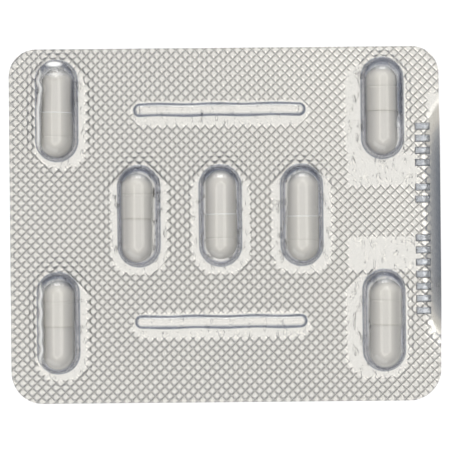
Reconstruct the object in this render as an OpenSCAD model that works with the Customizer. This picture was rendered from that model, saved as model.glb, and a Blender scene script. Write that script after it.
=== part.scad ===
// Blister pack of seven two-piece hard capsules, lying foil side down.
// Origin at the middle of the foil's back, +X to the right, +Y up the card, +Z out of the pockets.

/* [Card] */
// Width of the card, along X
card_w = 94; // [88:0.5:110]
// Height of the card, along Y
card_h = 77.5; // [74:0.5:95]
// Radius of the two upper corners
top_corner_r = 6; // [2:0.5:9]
// Radius of the two lower corners
bottom_corner_r = 7; // [2:0.5:9]

/* [Capsule] */
// Length of a closed capsule
capsule_len = 19.4; // [17:0.1:21]
// Outside diameter of the cap
cap_d = 6.91; // [5.5:0.01:7.8]
// Length of the cap, from its tip to its rim
cap_len = 9.9; // [8.5:0.1:12]
// Thickness of the gelatin shells
shell_t = 0.11; // [0.08:0.01:0.2]
// Radial clearance between the cap and the body inside it
shell_gap = 0.03; // [0.02:0.01:0.08]
// Distance from the cap's tip to the body's open rim
rim_depth = 3; // [2.8:0.1:4]
// Length of the taper at the body's open rim
rim_taper_len = 0.7; // [0.3:0.1:1.2]
// Inward step of the taper at the body's open rim
rim_taper = 0.12; // [0.05:0.01:0.2]
// Distance from the cap's tip to the locking ring
lock_ring_pos = 4.6; // [4.4:0.1:6]
// Radius of the rounded locking groove
lock_ring_r = 0.5; // [0.3:0.05:0.8]
// Depth of the locking groove in the cap
lock_ring_depth = 0.08; // [0.04:0.01:0.12]
// Clearance between the powder and the shell around it
powder_gap = 0.03; // [0.02:0.01:0.1]
// Length of the column of powder
powder_len = 14; // [8:0.1:14.2]

/* [Pockets] */
// Distance between the columns of pockets
pitch_x = 17.8; // [14.5:0.1:19]
// Distance between the rows of pockets
pitch_y = 23.2; // [19:0.1:25]
// Shift of the pocket grid from the card's middle, along X
grid_shift_x = -1; // [-2:0.1:1]
// Shift of the pocket grid from the card's middle, along Y
grid_shift_y = 2.1; // [-1:0.1:2.6]
// Clearance beside the capsule, at the crown
side_gap = 0.65; // [0.5:0.01:0.9]
// Clearance past each end of the capsule, at the crown
end_gap = 0.9; // [0.9:0.1:2]
// Clearance above the capsule
top_gap = 0.6; // [0.4:0.05:1]
// Gap between the capsule and the foil that it lies on
rest_gap = 0.03; // [0.01:0.01:0.1]

/* [Film] */
// Thickness of the flat film
film_t = 0.25; // [0.2:0.01:0.4]
// Thickness of the drawn pocket wall
wall_t = 0.18; // [0.1:0.01:0.2]
// Draft angle of the pocket walls
draft = 5; // [3:1:10]
// Radius at the root of a pocket, on the outside
root_r = 0.4; // [0.2:0.05:0.8]

/* [Ribs] */
// Length of a stiffening rib, between its roots
rib_len = 38; // [20:0.5:45]
// Radius of a rib's crown, inside
rib_crown_r = 1.2; // [0.8:0.05:2]
// Height of a rib, inside
rib_h = 1.15; // [0.8:0.05:2]
// Draft angle of a rib's walls
rib_draft = 20; // [10:1:30]

/* [Foil] */
// Thickness of the foil under the embossing
foil_t = 0.05; // [0.02:0.01:0.1]
// Depth of the embossed diamonds
knurl_depth = 0.1; // [0.05:0.01:0.2]
// Height of the grooves between the diamonds above the flat foil
groove_h = 0.01; // [0.005:0.005:0.04]
// Distance between the embossed lines, which run at 45 degrees
knurl_pitch = 1.465; // [1.4:0.005:2.5]
// Smooth margin above each formed shape
seal_gap_top = 0.2; // [0:0.1:2]
// Smooth margin below each formed shape
seal_gap_bottom = 1.6; // [0:0.1:3]
// Width of the smooth strip at the card's right edge
strip_w = 2.2; // [1:0.1:4]
// Length of the smooth strip at the card's right edge
strip_len = 52; // [30:1:60]

/* [Raised bars] */
// Length of a plain raised bar, along X
mark_len = 3; // [2:0.1:3.4]
// Width of a plain raised bar
mark_w = 1.3; // [0.6:0.1:2]
// Height of the bars above the film
mark_h = 0.12; // [0.05:0.01:0.3]
// Distance between neighbouring bars
mark_pitch = 2.65; // [2.4:0.05:3.5]
// Distance from the card's right edge to the middle of the bars
mark_inset = 3.7; // [2:0.1:4]

/* [Hidden] */
// Pockets in reading order: column and row of the grid, then where the capsule lies in its pocket:
// shift along X, shift along Y, turn in degrees, and 1 where the cap points up the card or -1 where down.
POCKETS = [
    [-2,  1,  0.25, -0.65, -1.5, -1],
    [ 2,  1, -0.30, -0.65,  0.3,  1],
    [-1,  0, -0.40, -0.40, -0.5,  1],
    [ 0,  0,  0.15,  0.20,  0.3, -1],
    [ 1,  0,  0.20, -0.40, -0.3, -1],
    [-2, -1,  0.20, -0.45, -0.5,  1],
    [ 2, -1,  0.20, -0.70, -1.5,  1]
];
// Smooth margins beside the pockets of each column, on the left and on the right
SEAL_GAPS = [[0.2, 1.7], [1.9, 1.9], [2, 2.1], [2.1, 2.1], [3.5, 0.2]];
// Rows of the grid that hold a rib instead of three pockets
RIB_ROWS = [1, -1];
// Smooth patches of foil beside the pockets of the last column: middle along Y, and height
PATCHES = [[11.7, 6], [-6.6, 6.6]];
patch_w = 14.6;
// Groups of raised bars: distance of the first bar above the card's middle, and how many there are
MARK_GROUPS = [[21.2, 4], [7.9, 2], [-3.2, 7]];

$fn = 48;
EPS = 0.01;
foil_top = foil_t + knurl_depth;
cap_r = cap_d / 2;
body_r = cap_r - shell_t - shell_gap;
capsule_z = foil_top + rest_gap + cap_r;
// The pocket's crown is an arc whose sides run on into the drafted walls.
crown_r = cap_r + side_gap;
pocket_h = rest_gap + cap_d + top_gap;
pocket_straight = capsule_len + 2 * (end_gap - crown_r);
// Half width of a skin where its flare meets the level base
function flare_edge(r, h, a, flare, base) =
    r * (1 / cos(a) - tan(a)) + (h - base - flare) * tan(a) + flare / cos(a);
// Half width of a formed shape at the outer end of its root fillet
function root_edge(r, h, a) = flare_edge(r + wall_t, h + wall_t, a, root_r, film_t);
pocket_edge = root_edge(crown_r, pocket_h, draft);
rib_edge = root_edge(rib_crown_r, rib_h, rib_draft);
rib_straight = rib_len - 2 * rib_edge;

function pocket_x(p) = grid_shift_x + p[0] * pitch_x;
function pocket_y(p) = grid_shift_y + p[1] * pitch_y;
function rib_y(row) = grid_shift_y + row * pitch_y;

// Is a point inside an upright slot with round ends?
function in_slot(x, y, r, straight) =
    x * x + pow(max(abs(y) - straight / 2, 0), 2) < r * r;

// Is a point in the smooth margin of a formed shape?
function in_margin(x, y, edge, straight, left, right) =
    in_slot(
        x - (right - left) / 2,
        y - (seal_gap_top - seal_gap_bottom) / 2,
        edge + (left + right) / 2,
        straight + seal_gap_top + seal_gap_bottom - left - right
    );

// Points of the smooth field: pockets, ribs lying across, and the strip at the right edge
function smooth(x, y) =
    x > card_w / 2 - strip_w && abs(y - grid_shift_y) < strip_len / 2
    || len([for (p = POCKETS)
        let (gap = SEAL_GAPS[p[0] + 2])
        if (in_margin(x - pocket_x(p), y - pocket_y(p), pocket_edge, pocket_straight, gap[0], gap[1])) 1]) > 0
    || len([for (patch = PATCHES)
        if (abs(x - grid_shift_x - 2 * pitch_x) < patch_w / 2 && abs(y - patch[0]) < patch[1] / 2) 1]) > 0
    || len([for (row = RIB_ROWS)
        if (abs(x - grid_shift_x) < rib_len / 2 + seal_gap_top
            && y - rib_y(row) < rib_edge + seal_gap_top
            && y - rib_y(row) > -rib_edge - seal_gap_bottom) 1]) > 0;

module card_outline() {
    difference() {
        square([card_w, card_h], center = true);
        for (side = [-1, 1]) {
            corner_waste(side, 1, top_corner_r);
            corner_waste(side, -1, bottom_corner_r);
        }
    }
}

module corner_waste(sx, sy, r) {
    translate([sx * (card_w / 2 - r), sy * (card_h / 2 - r)])
        difference() {
            translate([min(0, sx) * (r + 1), min(0, sy) * (r + 1)])
                square([r + 1, r + 1]);
            circle(r);
        }
}

// Upright slot with round ends
module slot(r, straight) {
    square([2 * r, straight], center = true);
    for (end = [-1, 1])
        translate([0, end * straight / 2])
            circle(r);
}

// Right half of the area under a skin: a round crown on drafted walls that flare out at the root.
// r is the crown's radius, h its top, a the draft, flare the radius at the root and base its level.
module half_profile(r, h, a, flare, base) {
    edge = flare_edge(r, h, a, flare, base);
    crown_z = h - r;
    intersection() {
        union() {
            translate([0, crown_z])
                circle(r);
            difference() {
                polygon([
                    [0, 0],
                    [edge, 0],
                    [edge, base + flare],
                    [edge - flare * cos(a), base + flare - flare * sin(a)],
                    [r * cos(a), crown_z + r * sin(a)],
                    [0, crown_z + r * sin(a)]
                ]);
                translate([edge, base + flare])
                    circle(flare);
            }
        }
        square([edge, h]);
    }
}

// Area under the film's outer skin, or under its inner skin, for a pocket or a rib
module outer_half(r, h, a) {
    half_profile(r + wall_t, h + wall_t, a, root_r, film_t);
}

module inner_half(r, h, a) {
    half_profile(r, h, a, root_r + film_t, 0);
}

// Upright body with round ends, swept from a half profile along Y
module swept(straight) {
    for (side = [0, 1])
        mirror([side, 0, 0])
            rotate([90, 0, 0])
                linear_extrude(straight, center = true)
                    children();
    for (end = [0, 180])
        rotate(end)
            translate([0, straight / 2, 0])
                rotate_extrude(angle = 180)
                    children();
}

// Places one copy of its children at each pocket
module at_pockets() {
    for (p = POCKETS)
        translate([pocket_x(p), pocket_y(p), 0])
            children();
}

// Places one copy of its children at each rib, lying across the card
module at_ribs() {
    for (row = RIB_ROWS)
        translate([grid_shift_x, rib_y(row), 0])
            rotate(90)
                children();
}

module raised_bars() {
    for (group = MARK_GROUPS)
        for (i = [0:group[1] - 1])
            translate([card_w / 2 - mark_inset, group[0] - i * mark_pitch, 0])
                rotate(90)
                    linear_extrude(film_t + mark_h)
                        slot(mark_w / 2, mark_len - mark_w);
}

module formed_film() {
    color([0.86, 0.9, 0.93, 0.35])
        translate([0, 0, foil_top])
            difference() {
                union() {
                    linear_extrude(film_t)
                        card_outline();
                    at_pockets()
                        swept(pocket_straight)
                            outer_half(crown_r, pocket_h, draft);
                    at_ribs()
                        swept(rib_straight)
                            outer_half(rib_crown_r, rib_h, rib_draft);
                    raised_bars();
                }
                at_pockets()
                    swept(pocket_straight)
                        inner_half(crown_r, pocket_h, draft);
                at_ribs()
                    swept(rib_straight)
                        inner_half(rib_crown_r, rib_h, rib_draft);
            }
}

// One embossed diamond, turned square to the lines. Its flanks meet the neighbours' in a groove just above
// the flat foil, and run on down to a foot that is sunk in the foil.
module knurl_cell() {
    foot_z = foil_t / 2;
    slope = knurl_pitch / 2 / (knurl_depth - groove_h);
    foot_w = 2 * slope * (foil_top - foot_z);
    hull() {
        translate([0, 0, foot_z])
            rotate(45)
                cylinder(h = foil_top - foot_z, r1 = foot_w / sqrt(2), r2 = 0, $fn = 4);
        linear_extrude(foot_z)
            square(foot_w, center = true);
    }
}

// Diamonds wherever the foil is sealed, so their tips meet the film
module knurl() {
    reach = ceil((card_w + card_h) / 2 / sqrt(2) / knurl_pitch);
    rotate(45)
        for (i = [-reach:reach])
            for (j = [-reach:reach])
                let (
                    x = (i - j) * knurl_pitch / sqrt(2),
                    y = (i + j) * knurl_pitch / sqrt(2)
                )
                    if (abs(x) < card_w / 2 + knurl_pitch && abs(y) < card_h / 2 + knurl_pitch && !smooth(x, y))
                        translate([i * knurl_pitch, j * knurl_pitch, 0])
                            knurl_cell();
}

module lidding_foil() {
    color("silver")
        intersection() {
            linear_extrude(foil_top)
                card_outline();
            union() {
                translate([-card_w / 2, -card_h / 2, 0])
                    cube([card_w, card_h, foil_t]);
                knurl();
            }
        }
}

// Half area of a rod of radius r that starts with a round tip and ends flat
module rod_half(r, length) {
    intersection() {
        union() {
            translate([0, r])
                circle(r);
            translate([0, r])
                square([r, length]);
        }
        square([r, length]);
    }
}

// The locking ring's section, at a distance along the shell from its tip
module lock_ring(r, pos) {
    translate([cap_r + lock_ring_r - lock_ring_depth, pos])
        circle(r);
}

// Half section of the cap, from its tip at the origin
module cap_half() {
    difference() {
        rod_half(cap_r, cap_len);
        difference() {
            translate([0, shell_t])
                rod_half(cap_r - shell_t, cap_len - shell_t);
            lock_ring(lock_ring_r + shell_t, lock_ring_pos);
        }
        lock_ring(lock_ring_r, lock_ring_pos);
    }
}

// Half area of the body, tapered at its open rim
module body_area(r, length) {
    difference() {
        rod_half(r, length);
        polygon([
            [r, length - rim_taper_len],
            [r + rim_taper, length - rim_taper_len],
            [r + rim_taper, length + rim_taper_len],
            [r - 2 * rim_taper, length + rim_taper_len]
        ]);
    }
}

// Half section of the body, from its tip at the origin
module body_half() {
    body_len = capsule_len - rim_depth;
    ring_pos = capsule_len - lock_ring_pos;
    groove_r = lock_ring_r + shell_t + shell_gap;
    difference() {
        body_area(body_r, body_len);
        difference() {
            translate([0, shell_t])
                body_area(body_r - shell_t, body_len - shell_t);
            lock_ring(groove_r + shell_t, ring_pos);
        }
        lock_ring(groove_r, ring_pos);
    }
}

// Lays a capsule's piece in its pocket: the cap's tip is at the piece's origin
module lay(i) {
    p = POCKETS[i - 1];
    translate([pocket_x(p) + p[2], pocket_y(p) + p[3], capsule_z])
        rotate(p[4] + (p[5] > 0 ? 0 : 180))
            rotate([90, 0, 0])
                translate([0, 0, -capsule_len / 2])
                    children();
}

// Turns a piece end for end, so that its tip is at the body's end of the capsule
module from_body_end() {
    translate([0, 0, capsule_len])
        rotate([180, 0, 0])
            children();
}

module capsule_cap(i) {
    color([0.83, 0.82, 0.79])
        lay(i)
            rotate_extrude()
                cap_half();
}

module capsule_body(i) {
    color([0.81, 0.8, 0.78])
        lay(i)
            from_body_end()
                rotate_extrude()
                    body_half();
}

module powder_fill(i) {
    color([0.93, 0.91, 0.86])
        lay(i)
            from_body_end()
                translate([0, 0, shell_t + powder_gap])
                    rotate_extrude()
                        rod_half(body_r - shell_t - powder_gap, powder_len);
}

formed_film();
lidding_foil();
for (i = [1:len(POCKETS)]) {
    capsule_cap(i);
    capsule_body(i);
    powder_fill(i);
}
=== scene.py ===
"""Looks of a clear blister pack of seven capsules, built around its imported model."""
import math

import bpy
import numpy as np
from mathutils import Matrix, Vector


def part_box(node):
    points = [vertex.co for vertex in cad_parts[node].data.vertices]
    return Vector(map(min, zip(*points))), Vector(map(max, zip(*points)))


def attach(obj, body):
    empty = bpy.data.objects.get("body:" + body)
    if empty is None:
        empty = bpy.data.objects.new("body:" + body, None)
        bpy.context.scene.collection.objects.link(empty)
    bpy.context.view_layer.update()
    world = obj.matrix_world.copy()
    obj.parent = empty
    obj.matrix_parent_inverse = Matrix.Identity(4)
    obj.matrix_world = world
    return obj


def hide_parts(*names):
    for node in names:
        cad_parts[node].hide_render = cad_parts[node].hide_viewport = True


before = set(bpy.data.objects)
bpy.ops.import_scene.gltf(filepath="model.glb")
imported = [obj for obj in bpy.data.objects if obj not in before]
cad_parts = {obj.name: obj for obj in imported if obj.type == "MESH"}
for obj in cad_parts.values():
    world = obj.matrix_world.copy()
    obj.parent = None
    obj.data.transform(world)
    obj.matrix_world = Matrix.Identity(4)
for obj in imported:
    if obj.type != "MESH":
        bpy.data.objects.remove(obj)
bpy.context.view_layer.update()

MM = 0.001

# The card, read from the frame
foil_low, foil_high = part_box("lidding_foil")
CARD_W = foil_high.x - foil_low.x
CARD_H = foil_high.y - foil_low.y
FOIL_TOP = foil_high.z
TOP_CORNER_R = 6 * MM
BOTTOM_CORNER_R = 7 * MM
CORNER_SEGMENTS = 14

# The grid of pockets: column and row of each, with the middle one on the grid's own origin
PITCH_X = 17.8 * MM
PITCH_Y = 23.2 * MM
GRID_X = -1 * MM
GRID_Y = 2.1 * MM
POCKETS = [(-2, 1), (2, 1), (-1, 0), (0, 0), (1, 0), (-2, -1), (2, -1)]
RIB_ROWS = [1, -1]

# The formed film, whose sizes are those of its outer skin. A rib's foot is where its root ends, and the
# straight step is the length of the faces along a pocket. The wall's step is a share of the radius
FILM_T = 0.25 * MM
POCKET_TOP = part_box("formed_film")[1].z
POCKET_R = 4.285 * MM
POCKET_STRAIGHT = 12.99 * MM
DRAFT = math.radians(5)
ROOT_R = 0.4 * MM
LIP = 0.1 * MM
RIB_TOP = FOIL_TOP + 1.33 * MM
RIB_R = 1.38 * MM
RIB_LENGTH = 38 * MM
RIB_DRAFT = math.radians(12)
RIB_CROWN = 0.88 * MM
RIB_FOOT = RIB_R + (RIB_TOP - RIB_CROWN - FOIL_TOP - FILM_T) * math.tan(RIB_DRAFT) + ROOT_R / 2
STRAIGHT_STEP = 0.4 * MM
WALL_STEP = 0.2
FILM_SMOOTH = math.radians(50)

# The embossing of the foil as a mesh: a shallow net of pillows, with its lines crowded to their edges
FLAT_FOIL = 0.05 * MM
KNURL_PITCH = 1.465 * MM
KNURL_DEPTH = 0.04 * MM
KNURL_STEPS = 4
CROWDING = 0.1
CORNER_CUTS = 10
CUT_SNAP = 0.001 * MM
FLAT_ANGLE = math.radians(0.05)
FOIL_SMOOTH = math.radians(28)

# The embossing as relief in the foil's material: where a pillow begins to fall and where it ends, in shares
# of the way from its middle to its line, then what a pillow drops in shares of the bump's depth, and how much
# of that is left at the card's top right. The groove on each line drops by its own share
PILLOW_TOP = 0.58
PILLOW_END = 1.2
PILLOW_SHARE = 1.55
CORNER_SHARE = 0.7
GROOVE_POWER = 30.0
GROOVE_SHARE = 1.3
BUMP_DEPTH = 0.08 * MM

# The puckers of the smooth foil: a noise drawn out along Y, of which the upper part stands up
WRINKLE = 0.16 * MM
PUCKER_SCALE = (900.0, 350.0, 300.0)
PUCKER_FROM = 0.55
PUCKER_TO = 0.75

# Where the embossing stops: its distance above and below the pockets and ribs, and to the left and right of
# each column of pockets in millimetres, then the strip at the right and the smooth patches' middle and height
SEAL_TOP = -0.2 * MM
SEAL_BOTTOM = 1.4 * MM
SEAL_SIDES = [(0, 1.4), (1.3, 1.3), (1.4, 1.5), (1.6, 1.6), (3.3, 0.3)]
SEAL_TRIES = 7
SEAL_FADE = 0.5 * MM
STRIP_W = 2.2 * MM
STRIP_LENGTH = 52 * MM
PATCHES = [(11.7 * MM, 6 * MM), (-6.6 * MM, 6.6 * MM)]
PATCH_W = 14.6 * MM

# The plain raised bars in the code field: first bar's height on the card, and how many
BAR_GROUPS = [(21.2 * MM, 4), (7.9 * MM, 2), (-3.2 * MM, 7)]
BAR_PITCH = 2.65 * MM
BAR_LENGTH = 3 * MM
BAR_W = 1.3 * MM
BAR_H = 0.12 * MM
BAR_CROWN = 0.8 * BAR_H
BAR_ROOT_R = 0.01 * MM
BAR_LIP = 0.02 * MM
BAR_INSET = 3.7 * MM
BAR_DEPTH = 0.3 * MM
BAR_SLOPE = (0.16 * MM, -0.08 * MM)

# The right edge, bent up along the code field
BEND_START = 4.0 * MM
BEND_RISE = 1.9 * MM
BEND_POWER = 1.5
BEND_CUTS = 8
BEND_ROW = 1.875 * MM
BEND_REACH = 24 * MM

# Dents in the two left pockets' walls, by the pocket's number: place along it, depth and length in
# millimetres. A painted highlight runs along a crease beside them. Beyond its near half sizes a pocket or rib
# isn't touched
PUSHES = {
    0: [(7.8, 0.55, 0.9), (4.5, 0.7, 1.3), (2.0, 0.28, 1.4), (-4.1, 0.1, 3.0)],
    5: [(6.5, 0.4, 1.2), (2.4, 0.35, 1.5), (-2.0, 0.3, 1.6), (-5.5, 0.45, 1.2)],
}
CREASE_U = -3.87 * MM
CREASE_W = 0.4 * MM
CREASE_HALF = 9 * MM
CREASE_HIGHLIGHT = 1.5
POCKET_NEAR_X = 6 * MM
POCKET_NEAR_Y = 12 * MM
RIB_WAVE = 0.1 * MM
RIB_NEAR_Y = 3 * MM

# Soft ellipses of painted shade or painted highlight on the pockets' film: the pocket's number, the middle's
# x and y from the pocket's and the half width and height in millimetres, and how much
PAINTED_SHADE = [
    (0, -4.3, 0, 0.7, 8, 0.5),
    (0, 4.3, 3, 0.6, 6, 0.35),
    (1, 4, 2.5, 0.8, 6.5, 0.7),
    (1, 0, 9.8, 3.4, 1, 0.4),
]
PAINTED_HIGHLIGHT = [
    (0, -0.1, 9.9, 1.7, 0.6, 1.0),
    (0, 0.2, 7.6, 2.2, 0.35, 0.35),
    (1, 3.1, -3.9, 0.25, 0.6, 1.0),
]
PAINTED_SHADE_EDGE = (1.2, 0.5)
PAINTED_HIGHLIGHT_EDGE = (1.3, 0.6)
PAINTED_SHADE_LOW = FOIL_TOP + MM
PAINTED_HIGHLIGHT_LOW = FOIL_TOP + 1.5 * MM

# How much painted shade the film gets at the pockets' domed ends, and at the rims of pockets and ribs
END_SHADE = 0.55
POCKET_RIM_SHADE = 0.4
RIB_RIM_SHADE = 0.5

# The fine ring at the cut edge of each capsule's cap
EDGE_R = 0.11 * MM
EDGE_SINK = 0.03 * MM
EDGE_BAND = 0.1 * MM

FLOOR_SIZE = 4
FLOOR_DROP = 0.02 * MM
CAMERA_HEIGHT = 0.6
CAMERA_TURN = math.radians(-0.55)
PICTURE_SPAN = 98.4 * MM

# Tones of the film from facing to glancing, and of the dim room from the horizon to straight up
FILM_TONES = [(0.42, "FDFDFC"), (0.6, "E6E7EA"), (0.88, "CCCED4")]
ROOM_TONES = [
    (0.0, "4A5464"),
    (0.35, "6A7486"),
    (0.65, "BABDC3"),
    (0.8, "F0EEEA"),
    (0.94, "F0EEEA"),
    (0.975, "5A5A5A"),
]


def srgb(hex_code):
    """Linear colour of an sRGB hex value such as "C8C6C1"."""
    parts = [int(hex_code[i : i + 2], 16) / 255 for i in (0, 2, 4)]
    linear = [c / 12.92 if c <= 0.04045 else ((c + 0.055) / 1.055) ** 2.4 for c in parts]
    return (*linear, 1.0)


def add_node(material, kind, settings=None, **sockets):
    """Adds a node. Settings are its own properties; a socket takes a value or another node's output."""
    node = material.node_tree.nodes.new(kind)
    for name, value in (settings or {}).items():
        setattr(node, name, value)
    for name, value in sockets.items():
        key = int(name[1:]) if name[0] == "i" and name[1:].isdigit() else name.replace("_", " ")
        if isinstance(value, bpy.types.NodeSocket):
            material.node_tree.links.new(value, node.inputs[key])
        else:
            node.inputs[key].default_value = value
    return node


def calc(material, operation, *values, clamp=False):
    """The result of a Math node on numbers or other nodes' outputs."""
    settings = {"operation": operation, "use_clamp": clamp}
    sockets = {f"i{i}": value for i, value in enumerate(values)}
    return add_node(material, "ShaderNodeMath", settings, **sockets).outputs[0]


def remap(material, value, from_low, from_high, to_low=0.0, to_high=1.0, kind="LINEAR"):
    """Maps a value from one range to another and holds it there."""
    return add_node(
        material, "ShaderNodeMapRange", {"interpolation_type": kind}, Value=value,
        From_Min=from_low, From_Max=from_high, To_Min=to_low, To_Max=to_high,
    ).outputs[0]


def blend(material, share, first, second, kind="MIX"):
    """Blends two colours by a share."""
    settings = {"data_type": "RGBA", "blend_type": kind}
    return add_node(material, "ShaderNodeMix", settings, i0=share, i6=first, i7=second).outputs[2]


def colour_ramp(material, value, stops):
    """The colour that a value picks from stops, which are pairs of a place and an sRGB hex value."""
    node = add_node(material, "ShaderNodeValToRGB", Fac=value)
    elements = node.color_ramp.elements
    for element, (place, colour) in zip(list(elements), (stops[0], stops[-1])):
        element.position = place
        element.color = srgb(colour)
    for place, colour in stops[1:-1]:
        elements.new(place).color = srgb(colour)
    return node.outputs["Color"]


def bump(material, height, depth, strength=1.0, **under):
    """The normal bent by a height, on top of another normal where one is given as Normal."""
    return add_node(
        material, "ShaderNodeBump", Height=height, Distance=depth, Strength=strength, **under
    ).outputs["Normal"]


def attribute(material, name):
    return add_node(material, "ShaderNodeAttribute", {"attribute_name": name}).outputs["Fac"]


def object_place(material):
    return add_node(material, "ShaderNodeTexCoord").outputs["Object"]


def new_material(name):
    material = bpy.data.materials.new(name)
    material.use_nodes = True
    material.node_tree.nodes.clear()
    return material


def surface(material, shader):
    add_node(material, "ShaderNodeOutputMaterial", Surface=shader)
    return material


def knurl_relief(m, place):
    """The height of the embossing: sharp grooves, and pillows that flatten towards the card's top right."""
    x, y = add_node(m, "ShaderNodeSeparateXYZ", Vector=place).outputs[:2]
    to_corner = calc(m, "MULTIPLY_ADD", y, 0.5, x)
    round_share = remap(m, to_corner, 0.0, CARD_W / 2, 1.0, CORNER_SHARE)
    from_middle = []
    for way in (1.0, -1.0):
        slant = calc(m, "MULTIPLY_ADD", y, way, x)
        cells = calc(m, "MULTIPLY_ADD", slant, 1 / math.sqrt(2) / KNURL_PITCH, 0.5)
        to_line = calc(m, "PINGPONG", cells, 0.5)
        from_middle.append(calc(m, "MULTIPLY_ADD", to_line, -2.0, 1.0, clamp=True))
    both = add_node(m, "ShaderNodeCombineXYZ", X=from_middle[0], Y=from_middle[1]).outputs[0]
    out = add_node(m, "ShaderNodeVectorMath", {"operation": "LENGTH"}, i0=both).outputs["Value"]
    domed = remap(m, out, PILLOW_TOP, PILLOW_END, 0.0, PILLOW_SHARE)
    domed = calc(m, "MULTIPLY", domed, round_share)
    nearest = calc(m, "MAXIMUM", *from_middle)
    groove = calc(m, "MULTIPLY", calc(m, "POWER", nearest, GROOVE_POWER), GROOVE_SHARE)
    drop = calc(m, "ADD", domed, groove)
    return calc(m, "MULTIPLY", drop, -1.0)


def bar_relief(m, place):
    """1 on the plain bars of the code field and 0 around them."""
    x, y = add_node(m, "ShaderNodeSeparateXYZ", Vector=place).outputs[:2]
    aside = calc(m, "ABSOLUTE", calc(m, "SUBTRACT", x, CARD_W / 2 - BAR_INSET))
    wide = calc(m, "SUBTRACT", aside, BAR_LENGTH / 2)
    height = 0.0
    for top, count in BAR_GROUPS:
        half = (count - 1) / 2 * BAR_PITCH
        down = calc(m, "SUBTRACT", top, y)
        from_middle = calc(m, "ABSOLUTE", calc(m, "SUBTRACT", down, half))
        past_end = calc(m, "SUBTRACT", from_middle, half + BAR_W / 2)
        from_bar = calc(m, "PINGPONG", down, BAR_PITCH / 2)
        tall = calc(m, "SUBTRACT", from_bar, BAR_W / 2)
        out = calc(m, "MAXIMUM", calc(m, "MAXIMUM", tall, past_end), wide)
        bar = remap(m, out, *BAR_SLOPE, kind="SMOOTHSTEP")
        height = calc(m, "MAXIMUM", bar, height)
    return height


def embossed_foil():
    """Hard-tempered aluminium foil, rolled bright: a soft mirror, embossed where sealed, else puckered."""
    m = new_material("rolled_aluminium_foil")
    place = object_place(m)
    seal = attribute(m, "sealed")
    x = add_node(m, "ShaderNodeSeparateXYZ", Vector=place).outputs[0]
    strip = CARD_W / 2 - STRIP_W
    off_strip = remap(m, x, strip, strip - MM)
    loose = calc(m, "MULTIPLY", calc(m, "SUBTRACT", 1.0, seal), off_strip)
    bar = bar_relief(m, place)
    off_bar = calc(m, "SUBTRACT", seal, bar)
    pillows = calc(m, "MULTIPLY", knurl_relief(m, place), off_bar)
    drawn_out = add_node(m, "ShaderNodeMapping", Vector=place, Scale=PUCKER_SCALE).outputs[0]
    noise = add_node(m, "ShaderNodeTexNoise", Vector=drawn_out, Scale=1.0, Detail=3.0, Roughness=0.6)
    pucker = remap(m, noise.outputs["Fac"], PUCKER_FROM, PUCKER_TO)
    normal = bump(m, pillows, BUMP_DEPTH)
    normal = bump(m, bar, BAR_DEPTH, Normal=normal)
    normal = bump(m, pucker, WRINKLE, loose, Normal=normal)
    # Painted shade: the code bars are darkened towards a blue grey
    painted_bar_shade = calc(m, "MULTIPLY", bar, 0.7)
    tone = blend(m, painted_bar_shade, srgb("D8D6D4"), srgb("8C94A2"))
    metal = add_node(
        m, "ShaderNodeBsdfPrincipled", Base_Color=tone, Metallic=1.0, Roughness=0.15, Normal=normal
    )
    return surface(m, metal.outputs["BSDF"])


def clear_film():
    """Rigid clear PVC, thermoformed: greyer and glossier at a glancing angle, with painted shade and painted
    highlights on its pockets and ribs.
    """
    m = new_material("clear_rigid_pvc")
    facing = add_node(m, "ShaderNodeLayerWeight", Blend=0.5).outputs["Facing"]
    gloss = calc(m, "MULTIPLY_ADD", calc(m, "POWER", facing, 5.0), 0.5, 0.04)
    tone = colour_ramp(m, facing, FILM_TONES)
    # Painted shade: the stored weight multiplies the film's tone towards a blue grey
    tone = blend(m, attribute(m, "painted_shade"), tone, srgb("BCC1CC"), "MULTIPLY")
    clear = add_node(m, "ShaderNodeBsdfTransparent", Color=tone).outputs[0]
    shine = add_node(m, "ShaderNodeBsdfAnisotropic", Color=srgb("FFFFFF"), Roughness=0.05).outputs[0]
    # Painted highlight: a rough white gloss is mixed in where the stored weight says
    highlight_gloss = add_node(m, "ShaderNodeBsdfAnisotropic", Color=srgb("FAFAF8"), Roughness=0.4).outputs[0]
    glossy = add_node(m, "ShaderNodeMixShader", i0=gloss, i1=clear, i2=shine).outputs[0]
    highlight_weight = attribute(m, "painted_highlight")
    with_highlights = add_node(m, "ShaderNodeMixShader", i0=highlight_weight, i1=glossy, i2=highlight_gloss).outputs[0]
    return surface(m, with_highlights)


def gelatin(name, colour, specular=0.5):
    """Hard gelatin with titanium dioxide: opaque, satin, a little uneven."""
    m = new_material(name)
    uneven = add_node(m, "ShaderNodeTexNoise", Vector=object_place(m), Scale=300.0, Detail=2.0)
    shell = add_node(
        m,
        "ShaderNodeBsdfPrincipled",
        Base_Color=srgb(colour),
        Roughness=remap(m, uneven.outputs["Fac"], 0.0, 1.0, 0.1, 0.15),
        Specular_IOR_Level=specular,
    )
    return surface(m, shell.outputs["BSDF"])


def powder():
    """Packed powder: matt, faintly mottled."""
    m = new_material("packed_powder")
    grain = add_node(m, "ShaderNodeTexNoise", Vector=object_place(m), Scale=4000.0).outputs["Fac"]
    mottle = blend(m, grain, srgb("E6E0D2"), srgb("F4F0E6"))
    chalk = add_node(m, "ShaderNodeBsdfPrincipled", Base_Color=mottle, Roughness=0.95)
    return surface(m, chalk.outputs["BSDF"])


def done():
    """Leaves edit mode."""
    if bpy.context.object and bpy.context.object.mode != "OBJECT":
        bpy.ops.object.mode_set(mode="OBJECT")


def deselect_all():
    done()
    bpy.ops.object.select_all(action="DESELECT")


def start(name):
    """Names the object that was just made, and returns it."""
    piece = bpy.context.object
    piece.name = piece.data.name = name
    return piece


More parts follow.
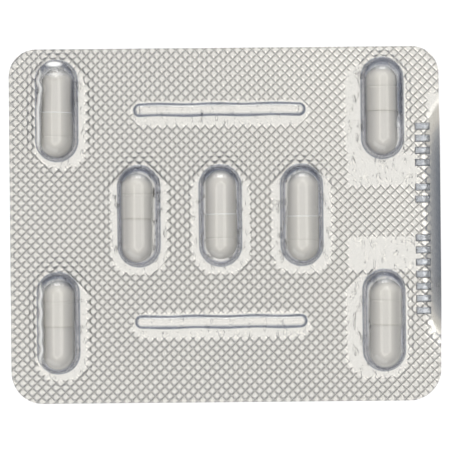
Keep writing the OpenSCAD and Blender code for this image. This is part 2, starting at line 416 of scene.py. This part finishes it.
def corners(piece):
    """The x, y and z of a piece's vertices."""
    places = np.empty(len(piece.data.vertices) * 3)
    piece.data.vertices.foreach_get("co", places)
    return places.reshape(-1, 3).T


def set_corners(piece, x, y, z):
    piece.data.vertices.foreach_set("co", np.stack([x, y, z], axis=1).ravel())


def store(piece, name, weights):
    """Keeps a weight for each vertex, for the material to read."""
    piece.data.attributes.new(name, "FLOAT", "POINT").data.foreach_set("value", weights)


def pick(piece, test, kind="VERT"):
    """Goes to edit mode with each vertex picked that passes the test, or each edge whose two ends pass."""
    done()
    mesh = piece.data
    passed = test(*corners(piece))
    mesh.vertices.foreach_set("select", passed)
    ends = np.empty(len(mesh.edges) * 2, dtype=np.int32)
    mesh.edges.foreach_get("vertices", ends)
    mesh.edges.foreach_set("select", passed[ends].reshape(-1, 2).all(axis=1))
    mesh.polygons.foreach_set("select", np.zeros(len(mesh.polygons), dtype=bool))
    bpy.ops.object.mode_set(mode="EDIT")
    bpy.ops.mesh.select_mode(type=kind)


def edit_all():
    """Goes to edit mode with everything picked."""
    bpy.ops.object.mode_set(mode="EDIT")
    bpy.ops.mesh.select_all(action="SELECT")


def bake():
    bpy.ops.object.transform_apply(location=True, rotation=True, scale=True)


def apply_modifier(piece, kind, **settings):
    """Adds a modifier with its settings and applies it."""
    modifier = piece.modifiers.new(kind.lower(), kind)
    for name, value in settings.items():
        setattr(modifier, name, value)
    deselect_all()
    piece.select_set(True)
    bpy.context.view_layer.objects.active = piece
    bpy.ops.object.modifier_apply(modifier=modifier.name)


def widen(factor):
    """Scales what is picked about the Z axis."""
    bpy.ops.transform.resize(value=(factor, factor, 1), center_override=(0, 0, 0))


def extrude(x, y, z):
    """Extrudes the picked edges by an offset."""
    bpy.ops.mesh.extrude_edges_move(TRANSFORM_OT_translate={"value": (x, y, z)})


def formed_shape(name, place, turn, radius, top, draft, root, straight, segments, lip, flatten=1.0):
    """The outer skin of a pocket, rib or bar: a dome drawn out along Y, its drafted wall and a flat lip."""
    deselect_all()
    eps = radius / 1000
    flange = FOIL_TOP + FILM_T
    bpy.ops.mesh.primitive_uv_sphere_add(
        segments=segments, ring_count=segments // 2, radius=radius, location=(0, 0, 0)
    )
    piece = start(name)
    equator = top - radius * flatten
    piece.scale.z = flatten
    piece.location.z = equator
    bake()
    pick(piece, lambda x, y, z: z < equator - eps)
    bpy.ops.mesh.delete(type="VERT")
    wall = equator - flange
    wall_steps = max(1, round(wall / (WALL_STEP * radius)))
    foot_r = radius + wall * math.tan(draft)
    pick(piece, lambda x, y, z: z < equator + eps, "EDGE")
    for i in range(wall_steps):
        ring_r = radius + (foot_r - radius) * i / wall_steps
        next_r = radius + (foot_r - radius) * (i + 1) / wall_steps
        extrude(0, 0, -wall / wall_steps)
        widen(next_r / ring_r)
    extrude(0, 0, 0)
    widen((foot_r + root + lip) / foot_r)
    pick(piece, lambda x, y, z: (z < flange + eps) & (np.hypot(x, y) < foot_r + eps), "EDGE")
    bpy.ops.mesh.bevel(offset=root, segments=5, profile=0.5, affect="EDGES")
    pick(piece, lambda x, y, z: y < -eps)
    bpy.ops.mesh.delete(type="VERT")
    done()
    piece.location.y = straight / 2
    bpy.ops.object.transform_apply(location=True, rotation=False, scale=False)
    steps = max(2, round(straight / 2 / STRAIGHT_STEP))
    for i in range(steps):
        level = straight / 2 * (1 - i / steps)
        pick(piece, lambda x, y, z: y < level + eps, "EDGE")
        extrude(0, -straight / 2 / steps, 0)
    done()
    apply_modifier(
        piece, "MIRROR", use_axis=(False, True, False), use_mirror_merge=True, merge_threshold=eps
    )
    piece.rotation_euler.z = turn
    piece.location = (*place, 0)
    bpy.ops.object.transform_apply(location=True, rotation=True, scale=False)
    return piece


def card_plane(name, height):
    """A flat face with the card's outline."""
    deselect_all()
    bpy.ops.mesh.primitive_plane_add(size=1, location=(0, 0, height))
    piece = start(name)
    piece.scale = (CARD_W, CARD_H, 1)
    bake()
    for side, radius in ((1, TOP_CORNER_R), (-1, BOTTOM_CORNER_R)):
        pick(piece, lambda x, y, z: (y * side > CARD_H / 2 - MM) & (abs(x) > CARD_W / 2 - MM))
        bpy.ops.mesh.bevel(offset=radius, segments=CORNER_SEGMENTS, profile=0.5, affect="VERTICES")
    done()
    return piece


def pocket_place(column, row):
    return GRID_X + column * PITCH_X, GRID_Y + row * PITCH_Y


def join(name, parts):
    deselect_all()
    for part in parts:
        part.select_set(True)
    bpy.context.view_layer.objects.active = parts[0]
    bpy.ops.object.join()
    return start(name)


def film_shapes():
    """The skins of the pockets, ribs and bars, each with its lip."""
    parts = []
    for i, place in enumerate(POCKETS):
        parts.append(formed_shape(
            f"pocket_{i}", pocket_place(*place), 0, POCKET_R, POCKET_TOP, DRAFT, ROOT_R,
            POCKET_STRAIGHT, 64, LIP,
        ))
    for row in RIB_ROWS:
        parts.append(formed_shape(
            f"rib_{row}", pocket_place(0, row), math.pi / 2, RIB_R, RIB_TOP, RIB_DRAFT, ROOT_R / 2,
            RIB_LENGTH - 2 * RIB_FOOT, 32, LIP, flatten=RIB_CROWN / RIB_R,
        ))
    for top, count in BAR_GROUPS:
        for i in range(count):
            place = (CARD_W / 2 - BAR_INSET, top - i * BAR_PITCH)
            parts.append(formed_shape(
                f"bar_{len(parts)}", place, math.pi / 2, BAR_W / 2, FOIL_TOP + FILM_T + BAR_H, 0.0,
                BAR_ROOT_R, BAR_LENGTH - BAR_W, 16, BAR_LIP, flatten=BAR_CROWN / (BAR_W / 2),
            ))
    return parts


def film_piece():
    """The formed film: pockets, ribs and bars set in one flat sheet, then given its thickness."""
    parts = film_shapes()
    sheet = card_plane("sheet", FOIL_TOP + FILM_T)
    edit_all()
    bpy.ops.mesh.delete(type="ONLY_FACE")
    done()
    film = join("clear_film", [*parts, sheet])
    bpy.ops.object.mode_set(mode="EDIT")
    bpy.ops.mesh.select_mode(type="EDGE")
    bpy.ops.mesh.select_all(action="DESELECT")
    bpy.ops.mesh.select_non_manifold(
        extend=False, use_wire=True, use_boundary=True, use_multi_face=False,
        use_non_contiguous=False, use_verts=False,
    )
    bpy.ops.mesh.fill(use_beauty=True)
    bpy.ops.mesh.select_all(action="SELECT")
    bpy.ops.mesh.normals_make_consistent(inside=False)
    done()
    up = sum(f.normal.z * f.area for f in film.data.polygons)
    if up < 0:
        edit_all()
        bpy.ops.mesh.flip_normals()
        done()
    for i in range(BEND_CUTS):
        cut_across(film, CARD_W / 2 - BEND_START * (1 - i / BEND_CUTS), (1, 0, 0))
    for i in range(-2 * BEND_CUTS, 2 * BEND_CUTS + 1):
        cut_across(film, i * BEND_ROW, (0, 1, 0))
    wear(film)
    apply_modifier(film, "SOLIDIFY", thickness=FILM_T, offset=-1, use_even_offset=True)
    bpy.ops.object.shade_smooth_by_angle(angle=FILM_SMOOTH)
    return film


def cut_across(film, reach, normal):
    """Adds an edge loop across the film, along X only in its flat right margin, so that it can bend."""
    from_x = CARD_W / 2 - BEND_START - CUT_SNAP if normal[1] else -CARD_W
    pick(film, lambda x, y, z: x > from_x)
    bpy.ops.mesh.bisect(plane_co=[reach * n for n in normal], plane_no=normal, threshold=CUT_SNAP)
    done()


def bend(x, y):
    """How far the card's right edge has been bent up at a place."""
    along = np.exp(-((y / BEND_REACH) ** 6))
    return BEND_RISE * along * np.clip((x - CARD_W / 2 + BEND_START) / BEND_START, 0, 1) ** BEND_POWER


def wear(film):
    """Dents and bends the film's outer skin, and stores where highlights are painted on it and where shade is
    painted.
    """
    x, y, z = corners(film)
    highlight_weight = np.zeros_like(x)
    for i, pushes in PUSHES.items():
        cx, cy = pocket_place(*POCKETS[i])
        u, v = x - cx, y - cy
        raised = np.clip((z - FOIL_TOP - FILM_T) / (POCKET_TOP - FOIL_TOP - FILM_T), 0, 1)
        near = (abs(u) < POCKET_NEAR_X) & (abs(v) < POCKET_NEAR_Y)
        # A painted highlight along the crease beside the dents
        on_crease = np.exp(-(((u - CREASE_U) / CREASE_W) ** 2)) * (raised > 0.5) * (abs(v) < CREASE_HALF)
        highlight_weight = np.maximum(highlight_weight, near * np.minimum(CREASE_HIGHLIGHT * on_crease, 1))
        push = 0
        for place, depth, length in pushes:
            push = push + depth * MM * np.exp(-(((v / MM - place) / length) ** 2))
        x += near * push * smoothstep(0, 0.85, -u / POCKET_R) * smoothstep(0, 0.6, raised)
    # Painted highlights in soft ellipses on the pockets
    highlight_weight = np.maximum(highlight_weight, ellipses(x, y, PAINTED_HIGHLIGHT, PAINTED_HIGHLIGHT_EDGE) * (z > PAINTED_HIGHLIGHT_LOW))
    for row in RIB_ROWS:
        cx, cy = pocket_place(0, row)
        near = (abs(y - cy) < RIB_NEAR_Y) & (abs(x - cx) < RIB_LENGTH / 2 + MM)
        y += near * RIB_WAVE * np.sin((x - cx) / MM * 0.5 + 2 * row)
    z += bend(x, y)
    set_corners(film, x, y, z)
    store(film, "painted_highlight", highlight_weight)
    store(film, "painted_shade", painted_shade(x, y, z))


def painted_shade(x, y, z):
    """The painted shade on the film: at the pockets' upper ends, round the pockets and ribs, on some walls.
    """
    shade_weight = ellipses(x, y, PAINTED_SHADE, PAINTED_SHADE_EDGE) * (z > PAINTED_SHADE_LOW)
    raised = z > FOIL_TOP + FILM_T + 0.02 * MM
    for place in POCKETS:
        cx, cy = pocket_place(*place)
        past = np.maximum(y - cy - POCKET_STRAIGHT / 2, 0)
        out = np.hypot(x - cx, past) / POCKET_R
        end = smoothstep(0, 0.7, past / POCKET_R) * smoothstep(0.68, 0.85, out) * (out < 1.05)
        shade_weight = np.maximum(shade_weight, END_SHADE * end)
        reach = POCKET_STRAIGHT / 2 + POCKET_R
        out = outside_slot(x, y, cx - POCKET_R, cx + POCKET_R, cy - reach, cy + reach) / MM
        shade_weight = np.maximum(shade_weight, POCKET_RIM_SHADE * smoothstep(0.25, 0.4, out) * (out < 1) * raised)
    for row in RIB_ROWS:
        cx, cy = pocket_place(0, row)
        reach = RIB_LENGTH / 2 - RIB_FOOT + RIB_R
        out = outside_slot(y, x, cy - RIB_R, cy + RIB_R, cx - reach, cx + reach) / MM
        shade_weight = np.maximum(shade_weight, RIB_RIM_SHADE * smoothstep(-0.55, -0.15, out) * (out < 0.5) * raised)
    return shade_weight


def ellipses(x, y, marks, edge):
    """The weight of soft ellipses on the pockets. They fade between the two shares of the radius in edge."""
    weight = np.zeros_like(x)
    for i, u0, v0, half_u, half_v, amount in marks:
        cx, cy = pocket_place(*POCKETS[i])
        out = np.hypot(((x - cx) / MM - u0) / half_u, ((y - cy) / MM - v0) / half_v)
        weight = np.maximum(weight, amount * smoothstep(*edge, out))
    return weight


def smoothstep(low, high, value):
    t = np.clip((value - low) / (high - low), 0, 1)
    return t * t * (3 - 2 * t)


def outside_slot(x, y, left, right, bottom, top):
    """How far a point is outside an upright slot with round ends, or inside it where negative."""
    radius = (right - left) / 2
    straight = (top - bottom) / 2 - radius
    away = np.maximum(np.abs(y - (top + bottom) / 2) - straight, 0)
    return np.hypot(x - (left + right) / 2, away) - radius


def sealed(x, y):
    """1 where the foil is sealed to the film and embossed, 0 in the smooth margins."""
    weight = np.ones_like(x)
    foot = POCKET_R + (POCKET_TOP - POCKET_R - FOIL_TOP) * math.tan(DRAFT)
    for column, row in POCKETS:
        cx, cy = pocket_place(column, row)
        left, right = SEAL_SIDES[column + 2]
        side, reach = foot + SEAL_TOP, POCKET_STRAIGHT / 2 + foot + SEAL_TOP
        out = outside_slot(x, y, cx - side, cx + side, cy - reach, cy + reach)
        bottom, top = cy - reach - SEAL_BOTTOM, cy + reach - SEAL_BOTTOM
        for aside in np.linspace(-left * MM, right * MM, SEAL_TRIES):
            beside = outside_slot(x, y, cx + aside - foot, cx + aside + foot, bottom, top)
            out = np.minimum(out, beside)
        weight *= smoothstep(0, SEAL_FADE, out)
    for row in RIB_ROWS:
        cx, cy = pocket_place(0, row)
        rib_foot = RIB_R + ROOT_R
        low, high = cy - rib_foot - SEAL_BOTTOM, cy + rib_foot + SEAL_TOP
        out = outside_slot(y, x, low, high, cx - RIB_LENGTH / 2, cx + RIB_LENGTH / 2)
        weight *= smoothstep(0, SEAL_FADE, out)
    for middle, height in PATCHES:
        aside = np.abs(x - GRID_X - 2 * PITCH_X) - PATCH_W / 2
        out = np.maximum(aside, np.abs(y - middle) - height / 2)
        weight *= smoothstep(0, SEAL_FADE, out)
    out = np.maximum(CARD_W / 2 - STRIP_W - x, np.abs(y - GRID_Y) - STRIP_LENGTH / 2)
    return weight * smoothstep(0, SEAL_FADE, out)


def trim(piece, near, reach, normal):
    """Cuts off what is further than reach from the origin along a normal, in the near part of a piece."""
    pick(piece, near)
    bpy.ops.mesh.bisect(
        plane_co=[reach * n for n in normal], plane_no=normal, clear_outer=True, threshold=CUT_SNAP
    )


def trim_to_card(foil):
    """Cuts the net of faces to the card's outline."""
    margin = 2 * KNURL_PITCH
    pick(foil, lambda x, y, z: (abs(x) > CARD_W / 2 + margin) | (abs(y) > CARD_H / 2 + margin))
    bpy.ops.mesh.delete(type="VERT")
    for normal, half in (((1, 0, 0), CARD_W / 2), ((0, 1, 0), CARD_H / 2)):
        for way in (1, -1):
            trim(foil, lambda x, y, z: x < 1, half, [way * n for n in normal])
    for way_y, radius in ((1, TOP_CORNER_R), (-1, BOTTOM_CORNER_R)):
        x0, y0 = CARD_W / 2 - radius, CARD_H / 2 - radius
        for way_x in (1, -1):
            for i in range(CORNER_CUTS):
                angle = (i + 0.5) / CORNER_CUTS * math.pi / 2
                normal = (way_x * math.cos(angle), way_y * math.sin(angle), 0)
                reach = radius + x0 * math.cos(angle) + y0 * math.sin(angle)
                trim(
                    foil, lambda x, y, z: (x * way_x > x0 - margin) & (y * way_y > y0 - margin),
                    reach, normal,
                )
    done()


def crowd(place):
    """Moves the net's lines towards the embossed lines, where the foil bends most."""
    cell = np.floor(place / KNURL_PITCH + 0.5)
    inside = (place / KNURL_PITCH - cell) * 2
    return (cell + np.sign(inside) * np.abs(inside) ** CROWDING / 2) * KNURL_PITCH


def foil_piece():
    """The lidding foil: a net of faces along the embossed lines, cut to the card, pressed into pillows."""
    deselect_all()
    cells = math.ceil((CARD_W + CARD_H) / math.sqrt(2) / KNURL_PITCH)
    cells += 1 - cells % 2
    bpy.ops.mesh.primitive_grid_add(
        x_subdivisions=cells * KNURL_STEPS, y_subdivisions=cells * KNURL_STEPS, size=cells * KNURL_PITCH
    )
    foil = start("embossed_foil")
    x, y, z = corners(foil)
    set_corners(foil, crowd(x), crowd(y), z)
    foil.rotation_euler.z = math.pi / 4
    foil.location.z = FLAT_FOIL
    bake()
    trim_to_card(foil)
    x, y, z = corners(foil)
    across = ((x + y) / math.sqrt(2) / KNURL_PITCH + 0.5) % 1.0 * 2 - 1
    along = ((y - x) / math.sqrt(2) / KNURL_PITCH + 0.5) % 1.0 * 2 - 1
    pillow = (1 - across**4) * (1 - along**4)
    seal = sealed(x, y)
    set_corners(foil, x, y, FLAT_FOIL + KNURL_DEPTH * pillow * seal + bend(x, y))
    store(foil, "sealed", seal)
    pick(foil, lambda x, y, z: x > -CARD_W)
    bpy.ops.mesh.dissolve_limited(angle_limit=FLAT_ANGLE)
    bpy.ops.mesh.quads_convert_to_tris(quad_method="SHORTEST_DIAGONAL", ngon_method="BEAUTY")
    done()
    apply_modifier(foil, "SOLIDIFY", thickness=FLAT_FOIL, offset=-1)
    bpy.ops.object.shade_smooth_by_angle(angle=FOIL_SMOOTH)
    return foil


def dress(piece, material):
    piece.data.materials.clear()
    piece.data.materials.append(material)


def dress_nodes():
    """Dresses the caps, bodies and powder that come from the frame."""
    looks = {
        "capsule_cap": gelatin("gelatin_cap", "D9D5CF"),
        "capsule_body": gelatin("gelatin_body", "D8D4CF"),
        "powder_fill": powder(),
    }
    for name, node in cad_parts.items():
        for first_words, material in looks.items():
            if name.startswith(first_words):
                dress(node, material)
                for face in node.data.polygons:
                    face.use_smooth = True


def cap_edge(number, lit, shaded):
    """The cut edge of a capsule's cap: a fine ring, with a painted highlight where it faces the card's top
    edge and painted shade where it faces the bottom.
    """
    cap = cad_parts[f"capsule_cap_{number}"]
    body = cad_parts[f"capsule_body_{number}"]
    cap_points, body_points = (np.array(corners(piece)).T for piece in (cap, body))
    axis = np.linalg.eigh(np.cov(np.concatenate([cap_points, body_points]).T))[1][:, -1]
    axis *= np.sign((cap_points.mean(0) - body_points.mean(0)) @ axis)
    along = cap_points @ axis
    rim = cap_points[along < along.min() + EDGE_BAND]
    middle = (rim.max(0) + rim.min(0)) / 2
    radius = np.linalg.norm(rim - middle, axis=1).max()
    deselect_all()
    bpy.ops.mesh.primitive_torus_add(
        major_radius=radius - EDGE_SINK, minor_radius=EDGE_R, major_segments=64, minor_segments=8,
        location=tuple(middle + axis * EDGE_R), rotation=Vector(axis).to_track_quat("Z", "Y").to_euler(),
    )
    bake()
    ring = start(f"cap_edge_{number}")
    bpy.ops.object.shade_smooth()
    dress(ring, lit if axis[1] < 0 else shaded)
    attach(ring, "root")


def white_floor():
    """A white floor: it glows for the eye and in reflections, and is a matt grey to all other light."""
    m = new_material("white_floor")
    rays = add_node(m, "ShaderNodeLightPath").outputs
    seen = calc(m, "MAXIMUM", rays["Is Camera Ray"], rays["Is Glossy Ray"])
    seen = calc(m, "MAXIMUM", seen, rays["Is Transmission Ray"])
    glow = calc(m, "MULTIPLY", seen, 0.85)
    light = add_node(m, "ShaderNodeEmission", Color=srgb("FFFFFF"), Strength=glow)
    matt = add_node(m, "ShaderNodeBsdfDiffuse", Color=srgb("8A8A8A"))
    both = add_node(m, "ShaderNodeAddShader", i0=light.outputs[0], i1=matt.outputs[0])
    return surface(m, both.outputs[0])


def studio():
    """A white floor in a dim room, with a softbox overhead, two lamps beyond the card's top and a fill."""
    deselect_all()
    bpy.ops.mesh.primitive_plane_add(size=FLOOR_SIZE, location=(0, 0, -FLOOR_DROP))
    floor = start("floor")
    dress(floor, white_floor())

    world = bpy.data.worlds.new("dim_room")
    bpy.context.scene.world = world
    world.use_nodes = True
    world.node_tree.nodes.clear()
    direct = add_node(world, "ShaderNodeLightPath").outputs["Is Camera Ray"]
    way = add_node(world, "ShaderNodeTexCoord").outputs["Generated"]
    rise = add_node(world, "ShaderNodeSeparateXYZ", Vector=way).outputs["Z"]
    tone = blend(world, direct, colour_ramp(world, rise, ROOM_TONES), srgb("FFFFFF"))
    air = add_node(world, "ShaderNodeBackground", Color=tone, Strength=1.0)
    add_node(world, "ShaderNodeOutputWorld", Surface=air.outputs[0])

    softbox("overhead", (0.03, -0.04, 0.9), (1.0, 0.74), 1.14)
    softbox("spot", (0.0, 0.86, 0.52), (0.5, 0.34), 3.2)
    softbox("window", (0.0, 0.9, 0.38), (1.4, 0.6), 1.4)
    softbox("fill", (-0.4, -0.8, 0.36), (1.4, 0.5), 0.9)


def softbox(name, place, size, brightness):
    """A rectangular lamp that faces the middle of the card. A brightness of 1 looks white."""
    lamp = bpy.data.lights.new(name, "AREA")
    lamp.shape = "RECTANGLE"
    lamp.size, lamp.size_y = size
    lamp.energy = brightness * math.pi * size[0] * size[1]
    holder = bpy.data.objects.new(name, lamp)
    bpy.context.collection.objects.link(holder)
    holder.location = place
    holder.rotation_euler = (-holder.location).to_track_quat("-Z", "Y").to_euler()


def camera():
    """Straight above the card and turned a little. The picture's width is PICTURE_SPAN at the floor."""
    lens = bpy.data.cameras.new("camera")
    lens.sensor_width = 36
    lens.lens = lens.sensor_width * CAMERA_HEIGHT / PICTURE_SPAN
    lens.clip_start, lens.clip_end = 0.01, 10
    eye = bpy.data.objects.new("camera", lens)
    bpy.context.collection.objects.link(eye)
    eye.location = (0, 0, CAMERA_HEIGHT)
    eye.rotation_euler = (0, 0, CAMERA_TURN)
    bpy.context.scene.camera = eye


film = film_piece()
dress(film, clear_film())
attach(film, "root")
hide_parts("formed_film")

foil = foil_piece()
dress(foil, embossed_foil())
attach(foil, "root")
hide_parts("lidding_foil")

dress_nodes()
# The pale edge material is a painted highlight and the darker one painted shade, picked by which way each
# cap's edge faces
lit_edge = gelatin("gelatin_edge_lit", "FFFFFF", 1.0)
shaded_edge = gelatin("gelatin_edge_shaded", "D0CCC4", 0.3)
for number in range(1, len(POCKETS) + 1):
    cap_edge(number, lit_edge, shaded_edge)
studio()
camera()
bpy.context.scene.view_settings.view_transform = "Standard"
